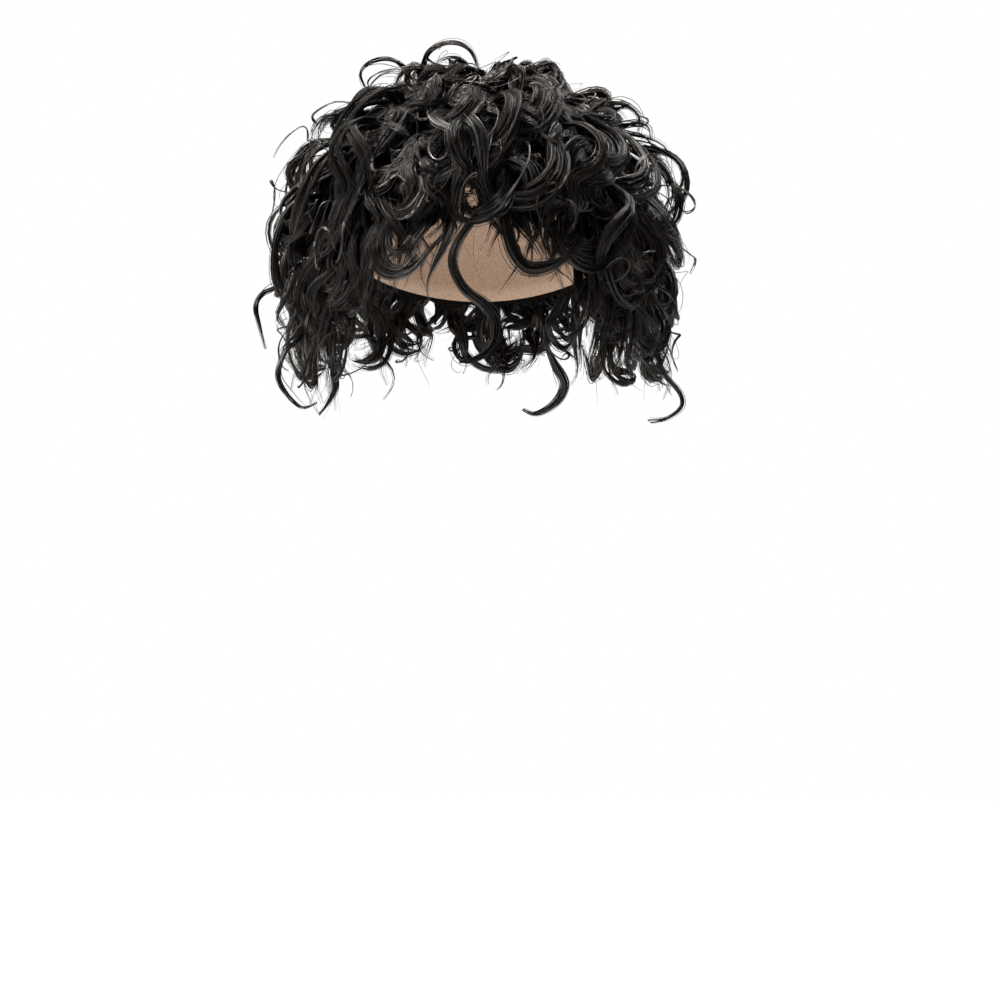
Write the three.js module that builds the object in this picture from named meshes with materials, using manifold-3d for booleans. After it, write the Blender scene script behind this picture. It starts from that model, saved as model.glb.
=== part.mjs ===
// A curly toupee: a thin domed base, shaped on the top of a head, with curled hair knotted to it.
//
// Millimetres, +Z up. The wearer faces -Y, so the wearer's left is at +X. The origin is the point
// of the base's inner side that rests on the very top of the head.
//
// Places on the head are given as an azimuth, in degrees from the front towards +X, a share of the
// crown arc, which is 0 at the top of the head and 1 at its widest level, and a height above the
// scalp. Past the widest level a share measures straight down, as hair hangs.

import * as THREE from "three";
import { mergeVertices } from "three/addons/utils/BufferGeometryUtils.js";
import Module from "manifold-3d";

const wasm = await Module();
wasm.setup();

// Head that the base is shaped on
const HEAD_HALF_WIDTH = 76;
const HEAD_FRONT_DEPTH = 94;
const HEAD_BACK_DEPTH = 101;
const CROWN_HEIGHT = 100; // from the widest level up to the top
const CROWN_ARC = (Math.PI / 4) * (HEAD_HALF_WIDTH + CROWN_HEIGHT);

// Base: its wall, and its rim as shares of the crown arc
const BASE_WALL = 1.2;
const RIM_FRONT = 0.65;
const RIM_SIDE = 0.75;
const RIM_BACK = 0.95;
const COLUMNS = 24; // facets around the base and the packed roots
const BASE_ROWS = 6; // facets from the top down to the rim
const HANGING_ROWS = 2; // facets of the packed roots below the rim

// Hair: the packed roots lie on the base, and the locks curl over them
const ROOT_GAP = 0.3; // between the base and the hair
const PIECE_GAP = 0.4; // between two pieces of hair
const MAT_CROWN = 9; // height of the packed roots above the scalp
const MAT_SIDE = 18;
const MAT_RIPPLE = 0.16; // share of that height
const MAT_LOBES = 7;
const HEM_HEIGHT = 0.6; // share of the height that is left at the lowest edge
const HEM_WAVE = 0.05;
const CROWN_EDGE = 0.34; // where the crown's hair meets the other pieces
const FRONT_HALF_ANGLE = 50; // where the front's hair meets the sides' hair
const SIDE_BACK_ANGLE = 128; // where the sides' hair meets the back's hair
const MAT_END_FRONT = 0.8;
const MAT_END_SIDE = 1.2;
const MAT_END_BACK = 1.2;
const TIP_FRONT = 0.86;
const TIP_SIDE = 1.32;
const TIP_BACK = 1.25;
const LOFT_CROWN = 12.5; // height of a lock's middle line above the scalp
const LOFT_SIDE = 24;
const FULL_HEIGHT = 0.55; // share of the crown arc from which the hair stands at its full height
const DRAW_START = 0.6; // share from which it draws in again, and where that ends
const DRAW_END = 1.2;
const DRAWN_IN = 0.36; // share of the full height that is left there
const HAIR_DEPTH = 30; // from the scalp to the outer curls
const CURL_CROWN = 4; // radius that a lock winds at
const CURL_SIDE = 6.5;
const SWIRL_RADIUS = 13; // of the flat curls that lie outermost
const LOCK_RADIUS = 8;
const SWIRL_LOCK_RADIUS = 6;
const FREE_LOCK_RADIUS = 3.6;
const LOCK_SIDES = 5;
const FREE_LOCK_SIDES = 5;

const WELD = 0.001; // points nearer than this are one point

const { sin, cos, min, max, floor, round, atan2, hypot, PI } = Math;
const radians = (degrees) => (degrees * PI) / 180;
const mix = (a, b, t) => a + (b - a) * t;

function ramp(from, to, x) {
  const t = min(1, max(0, (x - from) / (to - from)));
  return t * t * (3 - 2 * t);
}

// A fixed number from 0 to 1 for each pair of counters, so that the locks vary and never change.
function vary(first, second) {
  const mixed = sin(first * 12.9898 + second * 78.233) * 43758.5453;
  return mixed - floor(mixed);
}

// A value that runs from the front over the side to the back of the head.
function around(azimuth, front, side, back) {
  const facing = cos(radians(azimuth));
  return side + ((front - back) / 2) * facing + ((front + back) / 2 - side) * facing * facing;
}

const rimShare = (azimuth) => around(azimuth, RIM_FRONT, RIM_SIDE, RIM_BACK);

// Sides and back are long, and only the fringe over the forehead is short.
function lengthAt(azimuth, front, side, back) {
  const off = Math.abs(((((azimuth + 180) % 360) + 360) % 360) - 180);
  return mix(mix(front, side, ramp(22, 54, off)), back, ramp(100, 150, off));
}

const matEnd = (azimuth) => lengthAt(azimuth, MAT_END_FRONT, MAT_END_SIDE, MAT_END_BACK);
const tipShare = (azimuth) => lengthAt(azimuth, TIP_FRONT, TIP_SIDE, TIP_BACK);
const standing = (share) => mix(1, DRAWN_IN, ramp(DRAW_START, DRAW_END, share));
const heightAt = (share, crown, side) => mix(crown, side, ramp(0, FULL_HEIGHT, share)) * standing(share);

// The point at a height above the scalp. The dome is three half axes of an ellipsoid, and below
// its widest level the surface runs straight down.
function headPoint(azimuth, share, height) {
  const turn = radians(azimuth);
  const polar = (min(share, 1) * PI) / 2;
  const depth = cos(turn) > 0 ? HEAD_FRONT_DEPTH : HEAD_BACK_DEPTH;
  const unit = new THREE.Vector3(sin(polar) * sin(turn), -sin(polar) * cos(turn), cos(polar));
  const axes = new THREE.Vector3(HEAD_HALF_WIDTH, depth, CROWN_HEIGHT);
  const outward = unit.clone().divide(axes).normalize();
  const point = unit.multiply(axes).addScaledVector(outward, height);
  point.z -= CROWN_HEIGHT + max(0, share - 1) * CROWN_ARC;
  return point;
}

// The place that lies so many millimetres sideways and further down from another place, worked
// out on a flat map of the dome whose middle is the top of the head.
function shifted(azimuth, share, sideways, down) {
  const polar = max(0.02, (min(share, 1) * PI) / 2);
  const squeeze = sin(polar) / polar;
  const far = share * CROWN_ARC + down;
  const across = sideways / squeeze;
  const turned = azimuth + (atan2(across, far) * 180) / PI;
  return { azimuth: turned, share: hypot(far, across) / CROWN_ARC };
}

// The solid that a closed geometry bounds, with near points merged and slivers left out.
function solidOf(geometry) {
  geometry.deleteAttribute("normal");
  geometry.deleteAttribute("uv");
  const merged = mergeVertices(geometry, WELD);
  const index = merged.index.array;
  const kept = [];
  for (let i = 0; i < index.length; i += 3) {
    const [a, b, c] = index.slice(i, i + 3);
    if (a !== b && b !== c && c !== a) kept.push(a, b, c);
  }
  const vertProperties = merged.attributes.position.array;
  const triVerts = new Uint32Array(kept);
  return new wasm.Manifold(new wasm.Mesh({ numProp: 3, vertProperties, triVerts }));
}

function solidFrom(points, triangles) {
  const geometry = new THREE.BufferGeometry().setFromPoints(points);
  geometry.setIndex(triangles);
  return solidOf(geometry);
}

// A wall between an outer and an inner surface, each a function of two values that run from 0 to 1.
// Where round is true the first value closes on itself, and the second starts at a pole.
function wall(outer, inner, columns, rows, round) {
  const points = [];
  const triangles = [];
  const side = (columns + 1) * (rows + 1);
  for (const surface of [outer, inner]) {
    for (let row = 0; row <= rows; row++) {
      for (let column = 0; column <= columns; column++) {
        const wrapped = round ? column % columns : column;
        points.push(surface(wrapped / columns, row / rows));
      }
    }
  }
  const at = (column, row, layer) => layer * side + row * (columns + 1) + column;
  const quad = (a, b, c, d) => triangles.push(a, b, c, a, c, d);
  for (let row = 0; row < rows; row++) {
    for (let column = 0; column < columns; column++) {
      const [right, below] = [column + 1, row + 1];
      quad(at(column, row, 0), at(column, below, 0), at(right, below, 0), at(right, row, 0));
      quad(at(column, row, 1), at(right, row, 1), at(right, below, 1), at(column, below, 1));
    }
  }
  for (let column = 0; column < columns; column++) {
    const right = column + 1;
    quad(at(column, rows, 0), at(column, rows, 1), at(right, rows, 1), at(right, rows, 0));
    if (!round) quad(at(column, 0, 1), at(column, 0, 0), at(right, 0, 0), at(right, 0, 1));
  }
  for (let row = 0; row < rows && !round; row++) {
    const below = row + 1;
    quad(at(0, row, 0), at(0, row, 1), at(0, below, 1), at(0, below, 0));
    quad(at(columns, row, 1), at(columns, row, 0), at(columns, below, 0), at(columns, below, 1));
  }
  return solidFrom(points, triangles);
}

// A round tube through points with a radius at each, closed by a flat root and a pointed tip.
function loft(points, radii, sides) {
  const curve = new THREE.CatmullRomCurve3(points);
  const last = points.length - 1;
  const frames = curve.computeFrenetFrames(last, false);
  const ring = points.flatMap((point, i) => {
    const centre = curve.getPoint(i / last);
    return Array.from({ length: sides }, (_, k) => {
      const angle = (2 * PI * k) / sides;
      return centre
        .clone()
        .addScaledVector(frames.normals[i], radii[i] * cos(angle))
        .addScaledVector(frames.binormals[i], radii[i] * sin(angle));
    });
  });
  const triangles = [];
  const [root, tip] = [ring.length, ring.length + 1];
  for (let k = 0; k < sides; k++) {
    const next = (k + 1) % sides;
    for (let i = 0; i < last; i++) {
      const [a, b] = [i * sides + k, i * sides + next];
      triangles.push(a, b, b + sides, a, b + sides, a + sides);
    }
    triangles.push(root, next, k, tip, last * sides + k, last * sides + next);
  }
  const beyond = points[last].clone().addScaledVector(frames.tangents[last], radii[last]);
  return solidFrom([...ring, points[0], beyond], triangles);
}

// How thick a lock is along its length: gathered at the root and drawn to a point at the tip.
const fullness = (t) => mix(0.4, 1, ramp(0, 0.3, t)) * mix(1, 0.3, ramp(0.55, 1, t));

function lockSolid({ route, radius, sides }, grow) {
  const points = route.map(({ azimuth, share, height }) => headPoint(azimuth, share, height));
  const radii = route.map((_, i) => radius * fullness(i / (route.length - 1)) + grow);
  return loft(points, radii, sides);
}

// Winding locks: they rise from the base, fall with the head and wind as they go. Each row is one
// ring of them: where its roots are, as a share of the rim, how many there are, how far they
// reach, as a share of the crown arc, and how many turns they wind.
const windingRings = [
  { root: 0.08, count: 5, reach: 0.32, turns: 0.85 },
  { root: 0.34, count: 7, reach: 0.42, turns: 0.95 },
  { root: 0.62, count: 9, reach: 0.5, turns: 1.05 },
  { root: 0.88, count: 12, reach: 0.66, turns: 1.15 },
];
const WINDING_STEPS = 7;

function windingLock(ring, number, tier) {
  const spread = 360 / ring.count;
  const start = spread * (number + 0.5 * (tier % 2) + 0.3 * (vary(number, tier) - 0.5));
  const root = ring.root * rimShare(start);
  const end = min(tipShare(start) + 0.06 * (vary(number, tier + 7) - 0.5), root + ring.reach);
  const sweep = 24 * (vary(number, tier + 13) - 0.5);
  const phase = 360 * vary(number, tier + 19);
  const hand = vary(number, tier + 29) > 0.5 ? 1 : -1;
  const route = Array.from({ length: WINDING_STEPS + 1 }, (_, i) => {
    const t = i / WINDING_STEPS;
    const share = mix(root, end, t);
    const out = heightAt(share, LOFT_CROWN, LOFT_SIDE) * mix(0.35, 1, ramp(0, 0.3, t));
    const curl = mix(CURL_CROWN, CURL_SIDE, ramp(0.2, 0.9, share)) * mix(0.2, 1.1, ramp(0, 0.6, t));
    const angle = radians(phase + hand * 360 * ring.turns * t);
    const place = shifted(start + sweep * t, share, curl * cos(angle), 0);
    const lowest = LOCK_RADIUS * fullness(t) + BASE_WALL + 2 * ROOT_GAP;
    return { ...place, height: max(lowest, out + curl * sin(angle)) };
  });
  return { route, radius: LOCK_RADIUS, sides: LOCK_SIDES };
}

// Flat curls: each lies on the others and winds in towards its own middle. The columns are the
// middle's azimuth, its share of the crown arc, the curl's size as a share of the swirl radius,
// the direction that it starts from, in degrees from downhill, its turns, and its height as a share
// of the hair's depth, before the hair draws in.
const flatCurls = [
  { azimuth: -12, share: 0.62, size: 1, from: 150, turns: 0.95, out: 0.72 },
  { azimuth: 42, share: 0.56, size: 1.15, from: 200, turns: -0.9, out: 0.72 },
  { azimuth: -20, share: 0.86, size: 0.9, from: 170, turns: 0.85, out: 0.84 },
  { azimuth: 29, share: 0.83, size: 0.85, from: 190, turns: -0.9, out: 0.8 },
  { azimuth: 12, share: 0.42, size: 0.9, from: 160, turns: 0.8, out: 0.66 },
  { azimuth: -40, share: 0.48, size: 0.9, from: 220, turns: -0.85, out: 0.68 },
  { azimuth: -66, share: 0.74, size: 1.2, from: 170, turns: 0.85, out: 0.88 },
  { azimuth: 72, share: 0.78, size: 1.2, from: 190, turns: -0.9, out: 0.92 },
  { azimuth: 50, share: 0.92, size: 0.9, from: 160, turns: 0.85, out: 0.9 },
  { azimuth: -48, share: 0.94, size: 0.85, from: 200, turns: -0.8, out: 0.86 },
  { azimuth: 98, share: 0.96, size: 1, from: 150, turns: 0.85, out: 0.95 },
  { azimuth: -98, share: 0.9, size: 1, from: 210, turns: -0.85, out: 0.95 },
  { azimuth: 118, share: 0.66, size: 1, from: 170, turns: -0.9, out: 0.82 },
  { azimuth: -120, share: 0.64, size: 1, from: 190, turns: 0.9, out: 0.82 },
  { azimuth: 150, share: 0.84, size: 1.1, from: 160, turns: 0.85, out: 0.9 },
  { azimuth: -152, share: 0.86, size: 1.1, from: 200, turns: -0.85, out: 0.9 },
  { azimuth: 178, share: 0.62, size: 1.1, from: 180, turns: 0.9, out: 0.74 },
  { azimuth: 172, share: 1.06, size: 0.9, from: 170, turns: -0.85, out: 0.95 },
];
const FLAT_STEPS = 7;

function flatCurl({ azimuth, share, size, from, turns, out }) {
  const route = Array.from({ length: FLAT_STEPS + 1 }, (_, i) => {
    const t = i / FLAT_STEPS;
    const radius = SWIRL_RADIUS * size * mix(1.4, 0.62, ramp(0, 0.8, t));
    const angle = radians(from + 360 * turns * t);
    const place = shifted(azimuth, share, radius * sin(angle), radius * cos(angle));
    const rise = mix(0.4, 1, ramp(0, 0.35, t)) * mix(1, 0.8, ramp(0.6, 1, t));
    return { ...place, height: HAIR_DEPTH * out * rise * standing(share) };
  });
  return { route, radius: SWIRL_LOCK_RADIUS, sides: LOCK_SIDES };
}

// Free locks stand off the rest. Each row of a lock is a station: its azimuth, its share of the
// crown arc, and its height as a share of the hair's depth. A lock's size is a share of the free
// lock radius.
const freeLocks = {
  fringe_lock_centre: {
    size: 1,
    stations: [
      [2, 0.68, 0.42],
      [0, 0.78, 0.6],
      [-5, 0.86, 0.72],
      [-6.5, 0.92, 0.75],
      [-3.5, 0.98, 0.75],
      [1.5, 1.02, 0.78],
      [4.5, 1.08, 0.82],
      [4, 1.15, 0.85],
      [0, 1.2, 0.9],
      [-4.5, 1.21, 0.97],
    ],
  },
  fringe_lock_hook: {
    size: 1,
    stations: [
      [7.5, 0.66, 0.42],
      [7.5, 0.78, 0.58],
      [9, 0.88, 0.66],
      [12.5, 0.93, 0.72],
      [18, 0.93, 0.8],
      [23.5, 0.9, 0.78],
      [28, 0.86, 0.66],
    ],
  },
  brow_lock: {
    size: 0.5,
    stations: [
      [33, 0.72, 0.4],
      [31, 0.86, 0.58],
      [31.5, 0.96, 0.68],
      [31, 1.03, 0.7],
      [28, 1.1, 0.68],
      [23, 1.13, 0.62],
      [18.5, 1.12, 0.6],
    ],
  },
  jaw_loop_left: {
    size: 0.75,
    stations: [
      [69, 1.04, 0.5],
      [68.5, 1.14, 0.46],
      [68.5, 1.23, 0.58],
      [68.5, 1.3, 0.84],
      [68.5, 1.35, 0.86],
      [67, 1.39, 0.62],
      [64.5, 1.4, 0.34],
    ],
  },
  ear_hook_right: {
    size: 0.65,
    stations: [
      [-87, 0.88, 0.4],
      [-87.5, 0.94, 0.7],
      [-87, 0.965, 0.94],
      [-86, 1, 1.04],
      [-85, 1.07, 0.98],
      [-84, 1.15, 0.88],
    ],
  },
  jaw_loop_right: {
    size: 0.6,
    stations: [
      [-65.5, 1, 0.22],
      [-66.5, 1.11, 0.46],
      [-67, 1.16, 0.73],
      [-66.5, 1.24, 0.85],
      [-66, 1.3, 0.73],
      [-64.5, 1.35, 0.5],
      [-62, 1.33, 0.26],
    ],
  },
  jaw_tip_right: {
    size: 0.75,
    stations: [
      [-59, 1.01, 0.2],
      [-56.5, 1.17, 0.24],
      [-54.5, 1.24, 0.2],
      [-54, 1.29, 0.2],
      [-55, 1.34, 0.3],
      [-56.5, 1.38, 0.42],
    ],
  },
  top_loop: {
    size: 0.6,
    stations: [
      [-90, 0.18, 0.28],
      [-82, 0.17, 0.64],
      [-72, 0.145, 0.88],
      [-50, 0.1, 0.94],
      [-19, 0.08, 0.78],
      [2, 0.09, 0.42],
    ],
  },
  crown_loop: {
    size: 0.45,
    stations: [
      [-98, 0.24, 0.34],
      [-98, 0.22, 0.76],
      [-95, 0.25, 1.06],
      [-92, 0.3, 1.14],
      [-92, 0.335, 1.02],
      [-94, 0.345, 0.6],
    ],
  },
  nape_loop: {
    size: 0.65,
    stations: [
      [160, 1.06, 0.4],
      [158, 1.16, 0.62],
      [157, 1.24, 0.86],
      [160, 1.31, 0.92],
      [164, 1.35, 0.7],
      [167, 1.33, 0.42],
    ],
  },
};
const STEPS_PER_STATION = 1.6;

function freeLock({ size, stations }) {
  const stops = stations.map(([azimuth, share, out]) => new THREE.Vector3(azimuth, share, out));
  const curve = new THREE.CatmullRomCurve3(stops);
  const steps = round((stations.length - 1) * STEPS_PER_STATION);
  const route = curve.getPoints(steps).map(({ x, y, z }) => {
    return { azimuth: x, share: y, height: HAIR_DEPTH * z };
  });
  return { route, radius: FREE_LOCK_RADIUS * size, sides: FREE_LOCK_SIDES };
}

// The packed roots: one wall over the base, facet for facet, and over the head below its rim, with a
// ripple where the locks part.
function packedRoots() {
  const rows = BASE_ROWS + HANGING_ROWS;
  const surface = (height) => (u, v) => {
    const azimuth = 360 * u;
    const row = round(v * rows);
    const rim = rimShare(azimuth);
    const hanging = max(0, row - BASE_ROWS) / HANGING_ROWS;
    const end = matEnd(azimuth) * (1 + HEM_WAVE * sin(radians(MAT_LOBES * azimuth)));
    const share = mix((rim * min(row, BASE_ROWS)) / BASE_ROWS, end, hanging);
    return headPoint(azimuth, share, height(azimuth, share, hanging));
  };
  const top = (azimuth, share, hanging) => {
    const lobe = sin(radians(MAT_LOBES * azimuth) + 9 * share);
    const ripple = 1 + MAT_RIPPLE * ramp(0, CROWN_EDGE, share) * lobe;
    const hem = mix(1, HEM_HEIGHT, ramp(0.5, 1, hanging));
    return heightAt(share, MAT_CROWN, MAT_SIDE) * ripple * hem;
  };
  return wall(surface(top), surface(() => BASE_WALL + ROOT_GAP), COLUMNS, rows, true);
}

// The room that the crown's hair takes: all that stands over the shares above the crown's edge.
function crownRoom(grow) {
  const edge = CROWN_EDGE + grow / CROWN_ARC;
  const surface = (height) => (u, v) => headPoint(360 * u, v * edge, height);
  return wall(surface(2 * HAIR_DEPTH), surface(-HAIR_DEPTH), COLUMNS, 1, true);
}

// The room between two upright planes that meet on the head's axis, each moved in by half a gap.
function sectorRoom({ from, to }) {
  const half = (to - from) / 2;
  const [far, height] = [4 * HEAD_BACK_DEPTH, 4 * CROWN_HEIGHT];
  const corners = [from, from + half, to].map(radians);
  const shape = new THREE.Shape([
    new THREE.Vector2(0, 0),
    ...corners.map((turn) => new THREE.Vector2(far * sin(turn), -far * cos(turn))),
  ]);
  const inset = PIECE_GAP / 2 / sin(radians(half));
  const middle = radians(from + half);
  const prism = new THREE.ExtrudeGeometry(shape, { depth: height, bevelEnabled: false });
  prism.translate(inset * sin(middle), -inset * cos(middle), -height * 0.75);
  return solidOf(prism);
}

const union = (solids) => wasm.Manifold.union(solids);

// The largest body of a solid: a wisp that a cut leaves on its own is left out.
function mainBody(solid) {
  const bodies = solid.decompose();
  return bodies.reduce((best, body) => (body.volume() > best.volume() ? body : best));
}

const HAIR = { color: 0x1d1815, roughness: 0.5, metalness: 0 };
const BASE = { color: 0xb89478, roughness: 0.7, metalness: 0 };

function geometryOf(solid) {
  const { numProp, vertProperties, triVerts } = solid.getMesh();
  const geometry = new THREE.BufferGeometry();
  geometry.setAttribute("position", new THREE.BufferAttribute(vertProperties, numProp));
  geometry.setIndex(new THREE.BufferAttribute(triVerts, 1));
  return geometry;
}

function namedMesh(name, solid, finish) {
  const geometry = geometryOf(solidOf(geometryOf(solid)));
  geometry.computeVertexNormals();
  const mesh = new THREE.Mesh(geometry, new THREE.MeshStandardMaterial(finish));
  mesh.name = name;
  return mesh;
}

const toupee = new THREE.Group();

const baseSide = (height) => (u, v) => headPoint(360 * u, v * rimShare(360 * u), height);
const baseCap = wall(baseSide(BASE_WALL), baseSide(0), COLUMNS, BASE_ROWS, true);
toupee.add(namedMesh("base_cap", baseCap, BASE));

let freeRoom = union([]);
for (const [name, row] of Object.entries(freeLocks)) {
  const lock = freeLock(row);
  toupee.add(namedMesh(name, mainBody(lockSolid(lock, 0).subtract(freeRoom)), HAIR));
  freeRoom = freeRoom.add(lockSolid(lock, PIECE_GAP));
}

const winding = windingRings.flatMap((ring, tier) =>
  Array.from({ length: ring.count }, (_, number) => windingLock(ring, number, tier)),
);
const locks = [...winding, ...flatCurls.map(flatCurl)].map((lock) => lockSolid(lock, 0));
const hair = union([packedRoots(), ...locks]).subtract(freeRoom);
toupee.add(namedMesh("crown_hair", mainBody(hair.intersect(crownRoom(0))), HAIR));
const hairBelow = hair.subtract(crownRoom(PIECE_GAP));
const sectors = {
  front_hair: { from: -FRONT_HALF_ANGLE, to: FRONT_HALF_ANGLE },
  left_hair: { from: FRONT_HALF_ANGLE, to: SIDE_BACK_ANGLE },
  right_hair: { from: -SIDE_BACK_ANGLE, to: -FRONT_HALF_ANGLE },
  back_hair: { from: SIDE_BACK_ANGLE, to: 360 - SIDE_BACK_ANGLE },
};
for (const [name, sector] of Object.entries(sectors)) {
  toupee.add(namedMesh(name, mainBody(hairBelow.intersect(sectorRoom(sector))), HAIR));
}

export default toupee;
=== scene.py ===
# %% [markdown]
# # A curly toupee in Blender
#
# A toupee is hair knotted to a thin base that sits on the top of a head. This lesson dresses the
# solids of such a hairpiece. The base becomes a smooth skin-toned lace, and every solid lock becomes
# twenty to fifty fine strands that follow the same route. Lengths are in metres, +Z is up, the wearer
# faces -Y, and the origin is the point of the base that rests on the top of the head.

# %% Load the frame
import math

import bpy
import numpy as np
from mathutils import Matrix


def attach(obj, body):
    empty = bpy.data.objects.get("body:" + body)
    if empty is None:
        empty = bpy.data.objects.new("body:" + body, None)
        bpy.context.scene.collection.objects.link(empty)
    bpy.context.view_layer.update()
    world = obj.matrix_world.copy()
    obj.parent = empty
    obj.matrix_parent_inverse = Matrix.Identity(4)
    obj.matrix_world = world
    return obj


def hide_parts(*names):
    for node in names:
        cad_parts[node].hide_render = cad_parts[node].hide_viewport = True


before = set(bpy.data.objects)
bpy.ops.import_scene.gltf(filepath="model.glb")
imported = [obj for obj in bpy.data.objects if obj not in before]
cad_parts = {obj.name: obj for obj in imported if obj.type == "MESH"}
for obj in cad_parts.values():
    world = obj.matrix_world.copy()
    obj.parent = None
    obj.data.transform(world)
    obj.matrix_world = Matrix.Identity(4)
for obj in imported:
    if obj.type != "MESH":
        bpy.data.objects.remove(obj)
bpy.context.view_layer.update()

print("nodes:", sorted(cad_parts))

# %% [markdown]
# ## Camera, floor and light
#
# The camera comes first, so that every later step can be looked at from the right place. It stands
# two metres away with a long lens, a little below the lowest hair. Dark hair shows mostly what it
# reflects, so the room is white to the camera and dim to everything else, and a few soft lamps draw
# the gloss. The floor is pale and thins out into the white with distance, so it shows no far edge.

# %% Camera
CAMERA_PLACE = (0.010, -2.0, -0.192)
LENS_MM = 150.0

camera_data = bpy.data.cameras.new("camera")
camera_data.lens = LENS_MM
camera = bpy.data.objects.new("camera", camera_data)
camera.location = CAMERA_PLACE
camera.rotation_euler = (math.pi / 2, 0, 0)
bpy.context.scene.collection.objects.link(camera)
bpy.context.scene.camera = camera
print("the camera sees", round(-CAMERA_PLACE[1] * camera_data.sensor_width / LENS_MM, 3), "m across")

# %% Lights and world
HAIR_MIDDLE = (0.0, 0.0, -0.06)
ROOM_LIGHT = 0.09
LAMPS = [
    {"name": "key_light", "place": (-1.5, -0.3, 1.0), "size": 0.8, "power": 66},
    {"name": "fill_light", "place": (1.2, -1.3, 0.6), "size": 0.8, "power": 4},
    {"name": "top_light", "place": (-0.25, 0.3, 1.45), "size": 0.6, "power": 58},
    {"name": "back_light", "place": (1.0, 1.3, 0.9), "size": 0.8, "power": 12},
]


def area_light(name, place, size, power):
    """A square lamp at a place, turned so that its -Z axis points at the middle of the hair."""
    data = bpy.data.lights.new(name, "AREA")
    data.size = size
    data.energy = power
    lamp = bpy.data.objects.new(name, data)
    lamp.location = place
    away = np.subtract(place, HAIR_MIDDLE)
    lamp.rotation_euler = (math.atan2(math.hypot(away[0], away[1]), away[2]), 0,
                           math.atan2(away[1], away[0]) + math.pi / 2)
    bpy.context.scene.collection.objects.link(lamp)


for row in LAMPS:
    area_light(**row)

world = bpy.data.worlds.new("white_room")
bpy.context.scene.world = world
world.use_nodes = True
room = world.node_tree
room.nodes["Background"].inputs["Color"].default_value = (1.0, 1.0, 1.0, 1.0)
seen = room.nodes.new("ShaderNodeLightPath")
strength = room.nodes.new("ShaderNodeMapRange")
strength.inputs["To Min"].default_value = ROOM_LIGHT
room.links.new(seen.outputs["Is Camera Ray"], strength.inputs["Value"])
room.links.new(strength.outputs["Result"], room.nodes["Background"].inputs["Strength"])
bpy.context.scene.view_settings.view_transform = "Standard"

# %% [markdown]
# ## Shader maths as Python
#
# A material is a graph of nodes. Wiring one by hand hides its formula, so this small class wraps a
# socket and turns `+` and `*` into Math nodes. Any other node comes from one method that sets
# the node's options first and then feeds its sockets.

# %% A class for sockets
class Value:
    """A number that varies over a surface, as the output socket that carries it."""

    def __init__(self, shader, socket):
        self.shader, self.socket = shader, socket

    def _maths(self, operation, other):
        """A Math node that takes this value first and the other second."""
        return self.shader.node("ShaderNodeMath", {"operation": operation}, {0: self, 1: other})

    def __add__(self, other):
        return self._maths("ADD", other)

    def __mul__(self, other):
        return self._maths("MULTIPLY", other)

    __radd__, __rmul__ = __add__, __mul__


class Shader:
    """One material, whose Principled node is fed by name."""

    def __init__(self, name, **constants):
        self.material = bpy.data.materials.new(name)
        self.material.use_nodes = True
        self.tree = self.material.node_tree
        self.surface = self.tree.nodes["Principled BSDF"]
        for socket, value in constants.items():
            self.surface.inputs[socket.replace("_", " ")].default_value = value

    def node(self, kind, settings=None, inputs=None, output=0):
        """A node with its settings made first, and values or links on its sockets."""
        made = self.tree.nodes.new(kind)
        for name, value in (settings or {}).items():
            setattr(made, name, value)
        for socket, value in (inputs or {}).items():
            self.feed(made.inputs[socket], value)
        return Value(self, made.outputs[output])

    def feed(self, socket, value):
        """Links a varying value to a socket, or sets a plain one."""
        if isinstance(value, Value):
            self.tree.links.new(value.socket, socket)
        else:
            socket.default_value = value

    def blend(self, first, second, share):
        """A colour between two colours. The Mix node's colour sockets are numbers 6 and 7."""
        return self.node("ShaderNodeMix", {"data_type": "RGBA"},
                         {"Factor": share, 6: first, 7: second}, output=2)

    def ramp(self, value, start, end):
        """0 at the start, 1 at the end and smooth between them."""
        return self.node("ShaderNodeMapRange", {"interpolation_type": "SMOOTHSTEP"},
                         {"Value": value, "From Min": start, "From Max": end})

    def object_place(self):
        """The place in the piece's own coordinates, socket 3 of the Texture Coordinate node."""
        return self.node("ShaderNodeTexCoord", output=3)


# %% Floor
FLOOR_HEIGHT = -0.43
FLOOR_REACH = 2.0
FLOOR_FADE = (0.5, 1.5)
SQUARE = ((-1, -1), (1, -1), (1, 1), (-1, 1))

floor_mesh = bpy.data.meshes.new("floor")
corners = [(x * FLOOR_REACH, y * FLOOR_REACH, FLOOR_HEIGHT) for x, y in SQUARE]
floor_mesh.from_pydata(corners, [], [(0, 1, 2, 3)])
floor_object = bpy.data.objects.new("floor", floor_mesh)
bpy.context.scene.collection.objects.link(floor_object)
pale = Shader("pale_floor", Base_Color=(0.95, 0.95, 0.95, 1), Roughness=0.9)
distance = pale.node("ShaderNodeVectorMath", {"operation": "LENGTH"}, {0: pale.object_place()}, output=1)
pale.feed(pale.surface.inputs["Alpha"], pale.ramp(distance, FLOOR_FADE[1], FLOOR_FADE[0]))
floor_mesh.materials.append(pale.material)
print("floor:", 2 * FLOOR_REACH, "m across")

# %% [markdown]
# ## Places on the head
#
# Every lock grows from the head, so its route is written in the head's own terms: an azimuth in
# degrees from the front, a share of the arc from the top (0) down to the widest level (1), and a
# height above the scalp. One function turns whole arrays of such places into points. A head of four
# half axes was chosen over a sculpted one because the same few numbers can place every hair.

# %% The head as a function
HEAD_HALF_WIDTH = 0.076
HEAD_FRONT_DEPTH = 0.094
HEAD_BACK_DEPTH = 0.101
CROWN_HEIGHT = 0.100
CROWN_ARC = math.pi / 4 * (HEAD_HALF_WIDTH + CROWN_HEIGHT)
BASE_WALL = 0.0012
FRONT_TO_SIDE = (22, 54)
SIDE_TO_BACK = (100, 150)


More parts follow.
